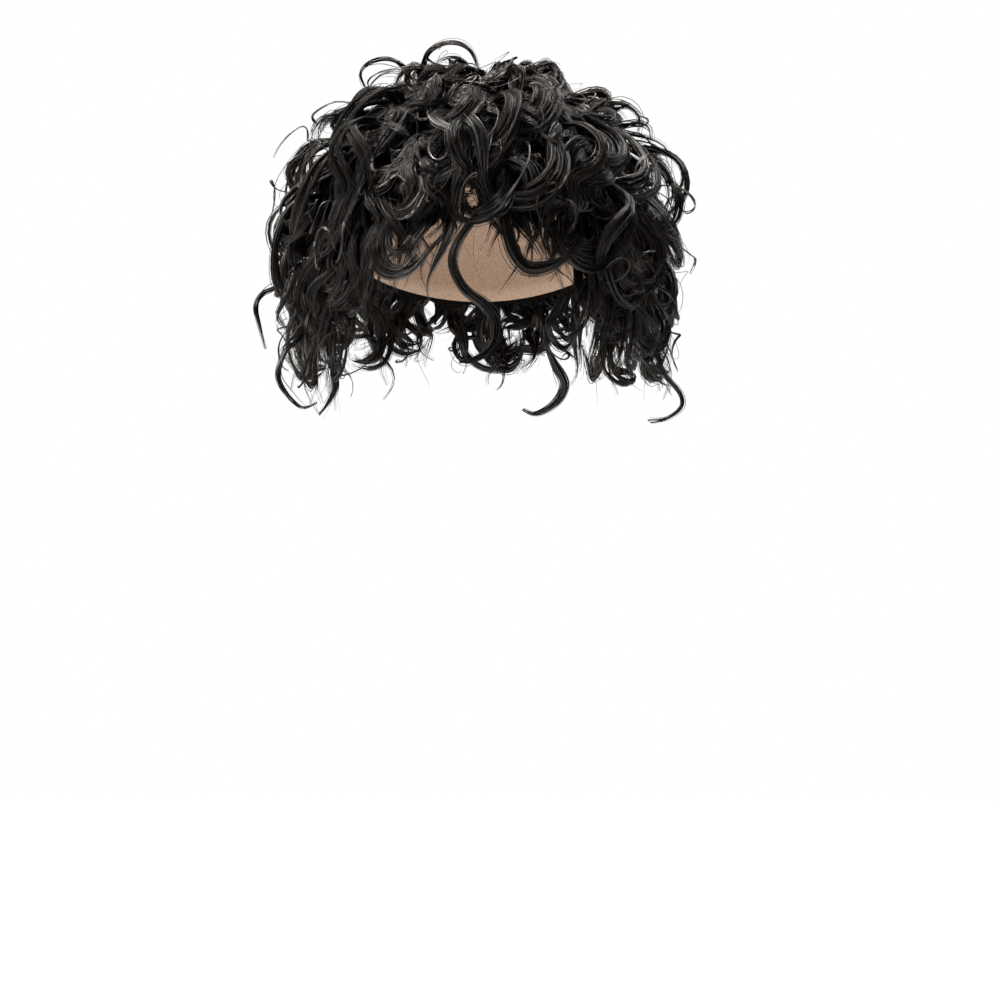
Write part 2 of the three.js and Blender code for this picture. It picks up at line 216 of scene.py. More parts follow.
def unit(vectors):
    """The same directions, each one unit long."""
    return vectors / np.maximum(np.linalg.norm(vectors, axis=-1, keepdims=True), 1e-9)


def ramp(start, end, x):
    """0 before the start, 1 after the end, and a smooth step 3t^2 - 2t^3 between them."""
    t = np.clip((x - start) / (end - start), 0, 1)
    return t * t * (3 - 2 * t)


def mix(a, b, t):
    """a where t is 0, b where it is 1, and a straight line between them."""
    return a + (b - a) * t


def around(azimuth, front, side, back):
    """A value that turns with cos(azimuth) from the front over the side to the back."""
    facing = np.cos(np.radians(azimuth))
    return side + (front - back) / 2 * facing + ((front + back) / 2 - side) * facing**2


def rim_share(azimuth):
    """Where the base ends, high over the forehead and low at the back."""
    return around(azimuth, 0.65, 0.75, 0.95)


def length_at(azimuth, front, side, back):
    """A length that changes smoothly from the front to the side and from there to the back, by how
    far the azimuth is from the front."""
    off = np.abs((azimuth + 180) % 360 - 180)
    return mix(mix(front, side, ramp(*FRONT_TO_SIDE, off)), back, ramp(*SIDE_TO_BACK, off))


def head_points(azimuth, share, height):
    """An ellipsoid with its own half axis to the front and to the back, straight down below its
    widest level, moved out along its normal by the height. Gives the points and the normals."""
    azimuth, share, height = np.broadcast_arrays(azimuth, share, height)
    turn, polar = np.radians(azimuth), np.minimum(share, 1) * np.pi / 2
    direction = np.stack([np.sin(polar) * np.sin(turn), -np.sin(polar) * np.cos(turn), np.cos(polar)], -1)
    depth = np.where(np.cos(turn) > 0, HEAD_FRONT_DEPTH, HEAD_BACK_DEPTH)
    axes = np.stack([np.full_like(depth, HEAD_HALF_WIDTH), depth, np.full_like(depth, CROWN_HEIGHT)], -1)
    outward = unit(direction / axes)
    points = direction * axes + outward * height[..., None]
    points[..., 2] -= CROWN_HEIGHT + np.maximum(0, share - 1) * CROWN_ARC
    return points, outward


def kept_off(points, clearance):
    """Points that would sink into the head are moved straight out from its middle, until they are
    about the clearance away from it."""
    x, y, z = np.moveaxis(points, -1, 0)
    above = np.maximum(z + CROWN_HEIGHT, 0)
    depth = np.where(y < 0, HEAD_FRONT_DEPTH, HEAD_BACK_DEPTH)
    reach = np.sqrt((x / HEAD_HALF_WIDTH)**2 + (y / depth)**2 + (above / CROWN_HEIGHT)**2)
    push = np.maximum(1, (1 + clearance / HEAD_HALF_WIDTH) / np.maximum(reach, 0.5))
    return np.stack([x * push, y * push, z + above * (push - 1)], -1)


def shifted(azimuth, share, sideways, down):
    """The place so far sideways and downhill from another, on a flat map of the dome."""
    polar = np.maximum(0.02, np.minimum(share, 1) * np.pi / 2)
    across = sideways / (np.sin(polar) / polar)
    far = share * CROWN_ARC + down
    return azimuth + np.degrees(np.arctan2(across, far)), np.hypot(far, across) / CROWN_ARC


print("crown arc:", round(CROWN_ARC, 4), "m")

# %% [markdown]
# ## Tubes by the thousand
#
# A strand is a thin closed tube. Blender's hair curves would be quicker to type, but a tube mesh is
# real geometry that any program can read, and numpy makes all the tubes of a piece in one go: paths
# are an array of (strand, station, xyz), and rings of points are added around every station.

# %% From paths to one mesh
class Bundle:
    """Collects tubes and walls as arrays, and makes one mesh object of them."""

    def __init__(self):
        self.points, self.loops, self.totals, self.uvs, self.tones, self.slots = [], [], [], [], [], []
        self.size = 0

    def add(self, points, faces, uvs, tones, slot):
        """Faces are arrays of point numbers, one array for each number of corners."""
        self.points.append(points)
        self.tones.append(tones)
        for corners, places in zip(faces, uvs):
            self.loops.append((corners + self.size).ravel())
            self.uvs.append(places.reshape(-1, 2))
            self.totals.append(np.full(len(corners), corners.shape[1]))
            self.slots.append(np.full(len(corners), slot))
        self.size += len(points)

    def add_tubes(self, paths, outward, wide, thick, sides, tones, slot):
        """Rings of points c + side*wide*cos(a) + up*thick*sin(a) around each station c, with the side
        at right angles to the path and to the head's outward direction. Ends are flat caps."""
        strands, stations, _ = paths.shape
        along = unit(np.gradient(paths, axis=1))
        side = carried_sides(along, outward)
        up = np.cross(along, side)
        angle = 2 * np.pi * np.arange(sides) / sides
        ring = (paths[:, :, None]
                + side[:, :, None] * (wide[..., None] * np.cos(angle))[..., None]
                + up[:, :, None] * (thick[..., None] * np.sin(angle))[..., None])
        number = np.arange(strands * stations * sides).reshape(strands, stations, sides)
        following = np.roll(number, -1, axis=2)
        quads = np.stack([number[:, :-1], following[:, :-1], following[:, 1:], number[:, 1:]], -1)
        u, v = np.arange(sides) / sides, np.arange(stations) / (stations - 1)
        quad_uv = np.empty(quads.shape + (2,))
        quad_uv[..., 0] = u[:, None] + np.array([0, 1, 1, 0]) / sides
        quad_uv[..., 1] = v[:-1, None, None] + np.array([0, 0, 1, 1]) / (stations - 1)
        caps = np.concatenate([number[:, 0, ::-1], number[:, -1]])
        cap_uv = np.stack(np.broadcast_arrays(u, np.repeat([0.0, 1.0], strands)[:, None]), -1)
        point_tones = np.repeat(tones, stations * sides)
        self.add(ring.reshape(-1, 3), [quads.reshape(-1, 4), caps],
                 [quad_uv, cap_uv], point_tones, slot)

    def make(self, name, materials):
        """Writes the arrays into a mesh with foreach_set and gives back its object."""
        mesh = bpy.data.meshes.new(name)
        points, loops = np.concatenate(self.points), np.concatenate(self.loops)
        totals = np.concatenate(self.totals)
        mesh.vertices.add(len(points))
        mesh.vertices.foreach_set("co", points.astype(np.float32).ravel())
        mesh.loops.add(len(loops))
        mesh.loops.foreach_set("vertex_index", loops.astype(np.int32))
        mesh.polygons.add(len(totals))
        starts = np.concatenate([[0], np.cumsum(totals)[:-1]])
        mesh.polygons.foreach_set("loop_start", starts.astype(np.int32))
        mesh.polygons.foreach_set("material_index", np.concatenate(self.slots).astype(np.int32))
        mesh.update(calc_edges=True)
        strand_map = mesh.uv_layers.new(name="strand")
        strand_map.data.foreach_set("uv", np.concatenate(self.uvs).astype(np.float32).ravel())
        tone = mesh.attributes.new("tone", "FLOAT", "POINT")
        tone.data.foreach_set("value", np.concatenate(self.tones).astype(np.float32))
        mesh.shade_smooth()
        for material in materials:
            mesh.materials.append(material)
        piece = bpy.data.objects.new(name, mesh)
        bpy.context.scene.collection.objects.link(piece)
        triangles = int((totals - 2).sum())
        print(f"{name}: {triangles} triangles")
        return piece


CARRIED_PART = 0.35


def carried_sides(along, outward):
    """Side vectors that start across the path and the outward direction. Each station's is the
    cross product of the two, plus a part of the station's before it, which leads where they nearly
    line up."""
    across = np.cross(along, outward)
    side = np.empty_like(along)
    side[:, 0] = unit(across[:, 0] + 1e-4)
    for station in range(1, along.shape[1]):
        before = side[:, station - 1]
        mixed = across[:, station] + CARRIED_PART * before
        mixed -= (mixed * along[:, station]).sum(-1, keepdims=True) * along[:, station]
        side[:, station] = unit(mixed)
    return side


# %% [markdown]
# ## Routes of the locks
#
# Real curls come from three habits of hair. A lock winds as it falls, the outermost locks lie flat
# and roll into swirls, and a few stand free of the rest. Each habit is a formula with a short table,
# and the same tables made the solids, so the strands fill the same shape.

# %% Winding locks
ROUTE_STATIONS = 48
HAIR_DEPTH = 0.030
LOCK_RADIUS = 0.008
SWIRL_RADIUS = 0.013
FREE_LOCK_RADIUS = 0.0036
ALONG = np.linspace(0, 1, ROUTE_STATIONS)
FULL_HEIGHT = 0.55
DRAWN_IN = 0.36
WINDING_HEIGHTS = (0.0125, 0.024)
CURL_RADII = (0.004, 0.0065)

WINDING_RINGS = [
    {"root": 0.08, "count": 5, "reach": 0.32, "turns": 0.85},
    {"root": 0.34, "count": 7, "reach": 0.42, "turns": 0.95},
    {"root": 0.62, "count": 9, "reach": 0.5, "turns": 1.05},
    {"root": 0.88, "count": 12, "reach": 0.66, "turns": 1.15},
]


def vary(first, second):
    """A fixed number from 0 to 1 for each pair of counters: what follows the point in a large sine."""
    mixed = np.sin(first * 12.9898 + second * 78.233) * 43758.5453
    return mixed - np.floor(mixed)


def fullness(t):
    """Gathered at the root, full along the middle and drawn to a point at the tip."""
    return mix(0.4, 1, ramp(0, 0.3, t)) * mix(1, 0.3, ramp(0.55, 1, t))


def standing(share):
    """The hair stands off most at the upper sides and draws in again below."""
    return mix(1, DRAWN_IN, ramp(0.6, 1.2, share))


def height_at(share, crown, side):
    """A height over the scalp that grows from the crown to the upper sides and draws in below."""
    return mix(crown, side, ramp(0, FULL_HEIGHT, share)) * standing(share)


def winding_lock(ring, number, tier):
    """A route that rises from the base and falls with the head, while it winds around its own middle
    line: sideways by curl*cos(angle) and outwards by curl*sin(angle)."""
    t = ALONG
    spread = 360 / ring["count"]
    start = spread * (number + 0.5 * (tier % 2) + 0.3 * (vary(number, tier) - 0.5))
    root = ring["root"] * rim_share(start)
    tip = length_at(start, 0.86, 1.32, 1.25) + 0.06 * (vary(number, tier + 7) - 0.5)
    end = min(tip, root + ring["reach"])
    sweep = 24 * (vary(number, tier + 13) - 0.5)
    hand = 1 if vary(number, tier + 29) > 0.5 else -1
    angle = np.radians(360 * vary(number, tier + 19) + hand * 360 * ring["turns"] * t)
    share = mix(root, end, t)
    out = height_at(share, *WINDING_HEIGHTS) * mix(0.35, 1, ramp(0, 0.3, t))
    curl = mix(*CURL_RADII, ramp(0.2, 0.9, share)) * mix(0.2, 1.1, ramp(0, 0.6, t))
    azimuth, share = shifted(start + sweep * t, share, curl * np.cos(angle), 0)
    lowest = LOCK_RADIUS * fullness(t) + BASE_WALL
    return azimuth, share, np.maximum(lowest, out + curl * np.sin(angle))


winding_routes = [
    winding_lock(ring, number, tier)
    for tier, ring in enumerate(WINDING_RINGS) for number in range(ring["count"])
]
print(len(winding_routes), "winding locks")

# %% Flat curls
FLAT_CURLS = [
    {"azimuth": -12, "share": 0.62, "size": 1, "from": 150, "turns": 0.95, "out": 0.72},
    {"azimuth": 42, "share": 0.56, "size": 1.15, "from": 200, "turns": -0.9, "out": 0.72},
    {"azimuth": -20, "share": 0.86, "size": 0.9, "from": 170, "turns": 0.85, "out": 0.84},
    {"azimuth": 29, "share": 0.83, "size": 0.85, "from": 190, "turns": -0.9, "out": 0.8},
    {"azimuth": 12, "share": 0.42, "size": 0.9, "from": 160, "turns": 0.8, "out": 0.66},
    {"azimuth": -40, "share": 0.48, "size": 0.9, "from": 220, "turns": -0.85, "out": 0.68},
    {"azimuth": -66, "share": 0.74, "size": 1.2, "from": 170, "turns": 0.85, "out": 0.88},
    {"azimuth": 72, "share": 0.78, "size": 1.2, "from": 190, "turns": -0.9, "out": 0.92},
    {"azimuth": 50, "share": 0.92, "size": 0.9, "from": 160, "turns": 0.85, "out": 0.9},
    {"azimuth": -48, "share": 0.94, "size": 0.85, "from": 200, "turns": -0.8, "out": 0.86},
    {"azimuth": 98, "share": 0.96, "size": 1, "from": 150, "turns": 0.85, "out": 0.95},
    {"azimuth": -98, "share": 0.9, "size": 1, "from": 210, "turns": -0.85, "out": 0.95},
    {"azimuth": 118, "share": 0.66, "size": 1, "from": 170, "turns": -0.9, "out": 0.82},
    {"azimuth": -120, "share": 0.64, "size": 1, "from": 190, "turns": 0.9, "out": 0.82},
    {"azimuth": 150, "share": 0.84, "size": 1.1, "from": 160, "turns": 0.85, "out": 0.9},
    {"azimuth": -152, "share": 0.86, "size": 1.1, "from": 200, "turns": -0.85, "out": 0.9},
    {"azimuth": 178, "share": 0.62, "size": 1.1, "from": 180, "turns": 0.9, "out": 0.74},
    {"azimuth": 172, "share": 1.06, "size": 0.9, "from": 170, "turns": -0.85, "out": 0.95},
]


def flat_curl(row):
    """A spiral on the surface around its middle: its radius shrinks from 1.4 to 0.62 of the swirl's,
    and it dips under its neighbours at the root and at the tip. A lean, in degrees, turns its sideways
    part outwards, and a sink moves the middle downhill on the way and opens the spiral to a wave."""
    t = ALONG
    radius = SWIRL_RADIUS * row["size"] * mix(1.4, 0.62, ramp(0, 0.8, t))
    angle = np.radians(row["from"] + 360 * row["turns"] * t)
    down = radius * np.cos(angle) + row.get("sink", 0) * (t - 0.5)
    lean = np.radians(row.get("lean", 0))
    azimuth, share = shifted(row["azimuth"], row["share"], radius * np.sin(angle) * np.cos(lean), down)
    rise = mix(0.4, 1, ramp(0, 0.35, t)) * mix(1, 0.8, ramp(0.6, 1, t))
    height = HAIR_DEPTH * row["out"] * rise * standing(row["share"]) + radius * np.sin(angle) * np.sin(lean)
    return azimuth, share, np.maximum(0.004, height)


flat_routes = [flat_curl(row) for row in FLAT_CURLS]
print(len(flat_routes), "flat curls")

# %% [markdown]
# Between the large curls lies a crowd of smaller ones. They are not worth a table, so their middles
# are spread by the golden angle, which never lines two of them up.

# %% Curls between the large ones
MIDDLE_CURLS = 76
SMALL_CURLS = 58
GOLDEN_ANGLE = 137.508
HAIR_SEED = 11
rng = np.random.default_rng(HAIR_SEED)


def scattered_curl(number, count, low, high, lean):
    """A curl of a size between two shares of the swirl's, whose place down the head grows with the
    square root of its number, and which leans by up to so many degrees."""
    azimuth = (number * GOLDEN_ANGLE) % 360 - 180
    share = length_at(azimuth, 0.76, 1.2, 1.14) * math.sqrt((number + 1.5) / (count + 1.5))
    return flat_curl({
        "azimuth": azimuth, "share": share, "size": rng.uniform(low, high),
        "from": rng.uniform(120, 240), "turns": rng.choice([-1, 1]) * rng.uniform(0.75, 1.2),
        "out": mix(0.5, 0.74, ramp(0.1, 0.6, share)) * rng.uniform(0.86, 1.1),
        "lean": rng.uniform(0.2, 1) * lean * ramp(0, 0.45, share), "sink": rng.uniform(0, 0.024),
    })


middle_routes = [scattered_curl(number, MIDDLE_CURLS, 0.65, 1.1, 50) for number in range(MIDDLE_CURLS)]
small_routes = [scattered_curl(number, SMALL_CURLS, 0.36, 0.65, 85) for number in range(SMALL_CURLS)]
print(len(middle_routes), "middle curls and", len(small_routes), "small ones")

# %% [markdown]
# The lowest hair starts at the rim of the base and hangs loose, with gaps that the light comes
# through. It is short over the forehead and reaches past the ears at the sides.

# %% Hanging locks
HANGING_LOCKS = 48
FRINGE_LOCKS = 50
FRINGE_REACH = 54
WAVE_SIZES = (0.003, 0.0065)
HANGING_ROOT_HEIGHT = 0.006
HANGING_TIP_HEIGHTS = (0.008, 0.016)
HANGING_LOWEST = 0.0045


def hanging_lock(start, root_above, fall):
    """A route from above the rim to below the roots. It waves sideways and outwards along its fall
    by slow sines, and its height over the scalp grows from the root's to the tip's."""
    t = ALONG
    root = rim_share(start) - root_above
    tip = max(root + 0.1, length_at(start, 0.98, 1.36, 1.26) * fall)
    waves, size = rng.uniform(1.0, 1.8), rng.uniform(*WAVE_SIZES)
    angle = rng.uniform(0, 2 * np.pi) + 2 * np.pi * waves * t * rng.choice([-1, 1])
    grown = ramp(0, 0.5, t)
    azimuth = start + rng.uniform(-10, 10) * t
    azimuth, share = shifted(azimuth, mix(root, tip, t), size * grown * np.cos(angle), 0)
    height = mix(HANGING_ROOT_HEIGHT, rng.uniform(*HANGING_TIP_HEIGHTS), ramp(0, 0.8, t))
    return azimuth, share, np.maximum(HANGING_LOWEST, height + size * grown * np.sin(angle))


hanging_routes = [
    hanging_lock(360 * (number + rng.uniform(-0.35, 0.35)) / HANGING_LOCKS, rng.uniform(0.02, 0.16),
                 rng.uniform(0.84, 1.04))
    for number in range(HANGING_LOCKS)
]
fringe_places = mix(-1, 1, (np.arange(FRINGE_LOCKS) + rng.uniform(0.1, 0.9, FRINGE_LOCKS)) / FRINGE_LOCKS)
fringe_routes = [
    hanging_lock(FRINGE_REACH * np.sign(place) * abs(place)**0.6, rng.uniform(0.1, 0.3),
                 rng.uniform(mix(0.76, 0.9, ramp(0.1, 0.4, abs(place))), 1.02))
    for place in fringe_places
]
print(len(hanging_routes), "hanging locks and", len(fringe_routes), "in the fringe")

# %% Free locks
FREE_STATIONS = 40
FREE_LOCKS = {
    "fringe_lock_centre": {"size": 1, "tip": 1.7, "stations": [
        (2, 0.68, 0.42), (0, 0.78, 0.6), (-5, 0.86, 0.72), (-6.5, 0.92, 0.75), (-3.5, 0.98, 0.75),
        (1.5, 1.02, 0.78), (4.5, 1.08, 0.82), (4, 1.15, 0.85), (0, 1.2, 0.9), (-4.5, 1.21, 0.97)]},
    "fringe_lock_hook": {"size": 1, "tip": 1.5, "stations": [
        (7.5, 0.66, 0.42), (7.5, 0.78, 0.58), (9, 0.88, 0.66), (12.5, 0.93, 0.72), (18, 0.93, 0.8),
        (23.5, 0.9, 0.78), (28, 0.86, 0.66)]},
    "brow_lock": {"size": 0.5, "stations": [
        (33, 0.72, 0.4), (31, 0.86, 0.58), (31.5, 0.96, 0.68), (31, 1.03, 0.7), (28, 1.1, 0.68),
        (23, 1.13, 0.62), (18.5, 1.12, 0.6)]},
    "jaw_loop_left": {"size": 0.75, "stations": [
        (69, 1.04, 0.5), (68.5, 1.14, 0.46), (68.5, 1.23, 0.58), (68.5, 1.3, 0.84),
        (68.5, 1.35, 0.86), (67, 1.39, 0.62), (64.5, 1.4, 0.34)]},
    "ear_hook_right": {"size": 0.65, "stations": [
        (-87, 0.88, 0.4), (-87.5, 0.94, 0.7), (-87, 0.965, 0.94), (-86, 1, 1.04), (-85, 1.07, 0.98),
        (-84, 1.15, 0.88)]},
    "jaw_loop_right": {"size": 0.6, "stations": [
        (-65.5, 1, 0.22), (-66.5, 1.11, 0.46), (-67, 1.16, 0.73), (-66.5, 1.24, 0.85),
        (-66, 1.3, 0.73), (-64.5, 1.35, 0.5), (-62, 1.33, 0.26)]},
    "jaw_tip_right": {"size": 0.75, "stations": [
        (-59, 1.01, 0.2), (-56.5, 1.17, 0.24), (-54.5, 1.24, 0.2), (-54, 1.29, 0.2), (-55, 1.34, 0.3),
        (-56.5, 1.38, 0.42)]},
    "top_loop": {"size": 0.6, "stations": [
        (-90, 0.18, 0.28), (-82, 0.17, 0.64), (-72, 0.145, 0.88), (-50, 0.1, 0.94), (-19, 0.08, 0.78),
        (2, 0.09, 0.42)]},
    "crown_loop": {"size": 0.45, "stations": [
        (-98, 0.24, 0.34), (-98, 0.22, 0.76), (-95, 0.25, 1.06), (-92, 0.3, 1.14), (-92, 0.335, 1.02),
        (-94, 0.345, 0.6)]},
    "nape_loop": {"size": 0.65, "stations": [
        (160, 1.06, 0.4), (158, 1.16, 0.62), (157, 1.24, 0.86), (160, 1.31, 0.92), (164, 1.35, 0.7),
        (167, 1.33, 0.42)]},
}


def spline(knots, count):
    """A smooth curve through knots. Between two knots b and c it is the cubic whose slopes there are
    half of c - a and half of d - b, and a straight guess stands in past each end."""
    knots = np.asarray(knots, float)
    padded = np.vstack([2 * knots[0] - knots[1], knots, 2 * knots[-1] - knots[-2]])
    place = np.linspace(0, len(knots) - 1, count)
    leg = np.minimum(place.astype(int), len(knots) - 2)
    t = (place - leg)[:, None]
    a, b, c, d = (padded[leg + k] for k in range(4))
    return b + t * (c - a) / 2 + t**2 * (a - 2.5 * b + 2 * c - d / 2) + t**3 * (1.5 * (b - c) + (d - a) / 2)


print(len(FREE_LOCKS), "free locks")

# %% [markdown]
# ## From a route to strands
#
# A lock is not one tube. It divides into fine bunches that lie side by side, cross a little and end
# where they like, and each bunch is a dark core with strands laid on it, some of which stray. The
# winding locks divide into three tresses first. Such levels give the clumped look of curly hair at
# a cost that a computer can hold.

# %% Bunches of a lock
def resampled(paths, first, last, stations):
    """The part of each path between two shares of its length, by straight steps between its points."""
    place = mix(first[:, None], last[:, None], np.linspace(0, 1, stations)) * (paths.shape[1] - 1)
    leg = np.minimum(place.astype(int), paths.shape[1] - 2)
    row = np.arange(len(paths))[:, None]
    return mix(paths[row, leg], paths[row, leg + 1], (place - leg)[..., None])


def wander(shape, size, waves=2):
    """A few slow waves added up, so that each path strays by about the size and comes back."""
    t = np.linspace(0, 1, shape[-1])
    total = np.zeros(shape)
    for wave in range(1, waves + 1):
        phase = rng.uniform(0, 2 * np.pi, (*shape[:-1], 1))
        total += rng.normal(0, size / wave, (*shape[:-1], 1)) * np.sin(2 * np.pi * wave * 0.7 * t + phase)
    return total


def split(points, outward, row, uneven=0.28):
    """Splits each lock into a count of finer ones beside one another. A finer one's place across the
    lock is fixed at the root, and it winds around that place by its own curl, most of all at its tip.
    Their ends differ by up to the uneven share of the length."""
    count, width, depth, curl = row["count"], row["width"], row["depth"], row["curl"]
    total, stations = len(points) * count, row["stations"]
    first, last = rng.uniform(0, uneven / 3, total), 1 - rng.uniform(0, uneven, total)
    centres = resampled(np.repeat(points, count, axis=0), first, last, stations)
    normals = unit(resampled(np.repeat(outward, count, axis=0), first, last, stations))
    side = carried_sides(unit(np.gradient(centres, axis=1)), normals)
    t = np.linspace(0, 1, stations)
    open_up = mix(0.4, 1, ramp(0, 0.3, t)) * mix(1, 0.6, ramp(0.6, 1, t))
    place = np.tile((np.arange(count) + 0.5) / count * 2 - 1, len(points))[:, None] * width
    across = (place + wander((total, stations), width * 0.2)) * open_up
    rise = (rng.uniform(-1, 1, (total, 1)) * depth + wander((total, stations), depth * 0.6)) * open_up
    turns = rng.uniform(0.7, 1.25, (total, 1)) * row["turns"] * rng.choice([-1, 1], (total, 1))
    angle = rng.uniform(0, 2 * np.pi, (total, 1)) + 2 * np.pi * turns * t**1.2
    own = curl * rng.uniform(0.6, 1.25, (total, 1)) * ramp(0.02, 0.5, t)
    across, rise = across + own * np.cos(angle), rise + own * 0.8 * np.sin(angle)
    return centres + side * across[..., None] + normals * rise[..., None], normals


# %% Strands of a bunch
STRAND_RADIUS = 0.00021
STRAND_SIDES = 3
CORE_SIDES = 4
STRAND_CLEARANCE = 0.0018
CORE_CLEARANCE = 0.003
STRAND_SLOT, CORE_SLOT, ROOTS_SLOT = 0, 1, 2


def strands_around(centres, outward, wide, thick, each, stray):
    """Strands on an oval around each bunch's middle line: side*wide*cos(a) + up*thick*sin(a). Each
    keeps its own angle and drifts a little, and some stray several times as far."""
    shape = (len(centres), each, centres.shape[1])
    along = unit(np.gradient(centres, axis=1))
    side = carried_sides(along, outward)
    up = np.cross(along, side)
    t = np.linspace(0, 1, shape[-1])
    single = (*shape[:2], 1)
    angle = rng.uniform(0, 2 * np.pi, single) + rng.uniform(-1.2, 1.2, single) * t
    reach = rng.uniform(0.85, 1.3, single) * fullness(t)
    loose = np.where(rng.uniform(size=single) < 0.14, 3.5, 1.0) * ramp(0, 0.35, t)
    x = reach * wide * np.cos(angle) + wander(shape, stray) * loose
    y = reach * thick * np.sin(angle) + wander(shape, stray * 0.8) * loose
    paths = centres[:, None] + side[:, None] * x[..., None] + up[:, None] * y[..., None]
    spread = np.broadcast_to(outward[:, None], paths.shape)
    return paths.reshape(-1, shape[-1], 3), spread.reshape(-1, shape[-1], 3)


def add_strands(bundle, paths, outward, tone, size=1.0):
    """Thin tubes along the paths, each drawn to a fine tip."""
    t = np.linspace(0, 1, paths.shape[1])
    radius = STRAND_RADIUS * size * rng.uniform(0.6, 1.15, (len(paths), 1)) * mix(1, 0.25, ramp(0.6, 1, t))
    bundle.add_tubes(paths, outward, radius, radius, STRAND_SIDES, tone, STRAND_SLOT)


def add_hair(bundle, points, outward, row):
    """Locks of hair in a bundle: each is split into bunches, and each bunch is a core with strands."""
    uneven = row.get("uneven", 0.28)
    if "tresses" in row:
        points, outward = split(points, outward, row["tresses"], uneven)
        uneven = 0.12
    centres, normals = split(points, outward, row, uneven)
    centres = kept_off(centres, CORE_CLEARANCE)
    total, stations, _ = centres.shape
    t = np.linspace(0, 1, stations)
    wide = row["width"] / row["count"] * row.get("full", 1.2) * rng.uniform(0.7, 1.25, (total, 1))
    thick = wide * rng.uniform(0.5, 0.8, (total, 1))
    tone = rng.uniform(0, 1, total)
    core = fullness(t) * mix(1, row.get("tip", 0.1), ramp(0.6, 1, t)) * 0.85
    bundle.add_tubes(centres, normals, wide * core, thick * core, CORE_SIDES, tone, CORE_SLOT)
    paths, spread = strands_around(centres, normals, wide[..., None], thick[..., None],
                                   row["each"], row["stray"])
    strand_tone = np.repeat(tone, row["each"]) * 0.5 + rng.uniform(0, 0.5, len(paths))
    add_strands(bundle, kept_off(paths, STRAND_CLEARANCE), spread, strand_tone)


print("a strand of a lock is up to", round(2.3 * STRAND_RADIUS * 1000, 2), "mm thick")

# %% [markdown]
# Between the locks and the air lie wisps that belong to no lock, a few strands each. They loop out of
# the mass and soften its outline, and along the forehead a fringe of very fine single strands hangs
# in front of the lace. The short locks on the roots are made here too.

# %% Wisps
WISPS = 110
LOOSE_STRANDS = 150
HAIRLINE_STRANDS = 130
UNDER_LOCKS = 420
WISP_STATIONS = 24
SHORT_STATIONS = 12
WISP_HEIGHTS = (0.0145, 0.026)
WISP_RADII = (0.003, 0.008)
WISP_SINKS = (0.005, 0.026)
SIDE_LIFT = 1.7
UNDER_LOCK_WAVES = (0.0015, 0.004)
UNDER_LOCK_LENGTHS = (0.022, 0.036)
UNDER_LOCK_RISES = (0.0002, 0.002)
HAIRLINE_REACH = 56
HAIRLINE_HEIGHT = 0.003
HAIRLINE_RISES = (0.002, 0.014)


def wisps(count, reach):
    """Strands that rise out of the mass by up to the reach, and farther at the sides, and run around
    a circle while they sink, which also swings their height by a sine. Gives their azimuths, shares
    and heights."""
    t = np.linspace(0, 1, WISP_STATIONS)
    number = np.arange(count)[:, None]
    column = (count, 1)
    azimuth = (number * GOLDEN_ANGLE + reach * 1000) % 360 - 180
    share = length_at(azimuth, 0.74, 1.16, 1.16) * np.sqrt((number + 0.5) / count)
    radius = rng.uniform(*WISP_RADII, column) * mix(1, 0.6, t)
    angle = rng.uniform(0, 2 * np.pi, column) + rng.choice([-1, 1], column) * rng.uniform(4, 8.5, column) * t
    sink = rng.uniform(*WISP_SINKS, column) * t
    azimuth, share = shifted(azimuth, share, radius * np.sin(angle), radius * np.cos(angle) + sink)
    top = height_at(share, *WISP_HEIGHTS)
    lift = rng.uniform(-0.003, reach, column) * ramp(0.05, 0.6, t) * mix(1, SIDE_LIFT, ramp(0.3, 0.8, share))
    height = top * mix(0.6, 1, ramp(0, 0.25, t)) + lift + 0.7 * radius * np.sin(angle + 0.3)
    return azimuth, share, np.maximum(0.004, height)


def under_locks(count):
    """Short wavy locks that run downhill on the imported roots, half sunk into them, so that no bare
    wall shows between the curls. The first ones start beyond the top and run across it."""
    t = np.linspace(0, 1, SHORT_STATIONS)
    number = np.arange(count)[:, None]
    column = (count, 1)
    azimuth = (number * GOLDEN_ANGLE) % 360 - 180
    start = (rim_share(azimuth) - 0.02) * np.sqrt((number + 0.5) / count) - 0.1
    size = rng.uniform(*UNDER_LOCK_WAVES, column)
    angle = rng.uniform(0, 2 * np.pi, column) + rng.uniform(4, 9, column) * t
    down = rng.uniform(*UNDER_LOCK_LENGTHS, column) * t
    azimuth, share = shifted(azimuth, start, size * np.sin(angle), down)
    height = roots_height(azimuth, share) + rng.uniform(*UNDER_LOCK_RISES, column) * np.sin(np.pi * t)
    return azimuth, share, height


def hairline_strands(count):
    """Short fine strands that leave the base's front rim and curve down over the forehead. Their
    height is a quarter to a half wave of a sine."""
    t = np.linspace(0, 1, SHORT_STATIONS)
    column = (count, 1)
    azimuth = rng.uniform(-HAIRLINE_REACH, HAIRLINE_REACH, column) + rng.uniform(-9, 9, column) * t**2
    share = rim_share(azimuth) - 0.03 + rng.uniform(0.06, 0.36, column) * t
    rise = rng.uniform(*HAIRLINE_RISES, column)
    height = HAIRLINE_HEIGHT + rise * np.sin(np.pi * t * rng.uniform(0.5, 1, column))
    bend = rng.uniform(-0.006, 0.006, column) * np.sin(rng.uniform(2, 6, column) * t)
    azimuth, share = shifted(azimuth, share, bend, 0)
    return azimuth, share, height


print(WISPS, "wisps,", LOOSE_STRANDS, "loose strands and", HAIRLINE_STRANDS, "at the hairline")

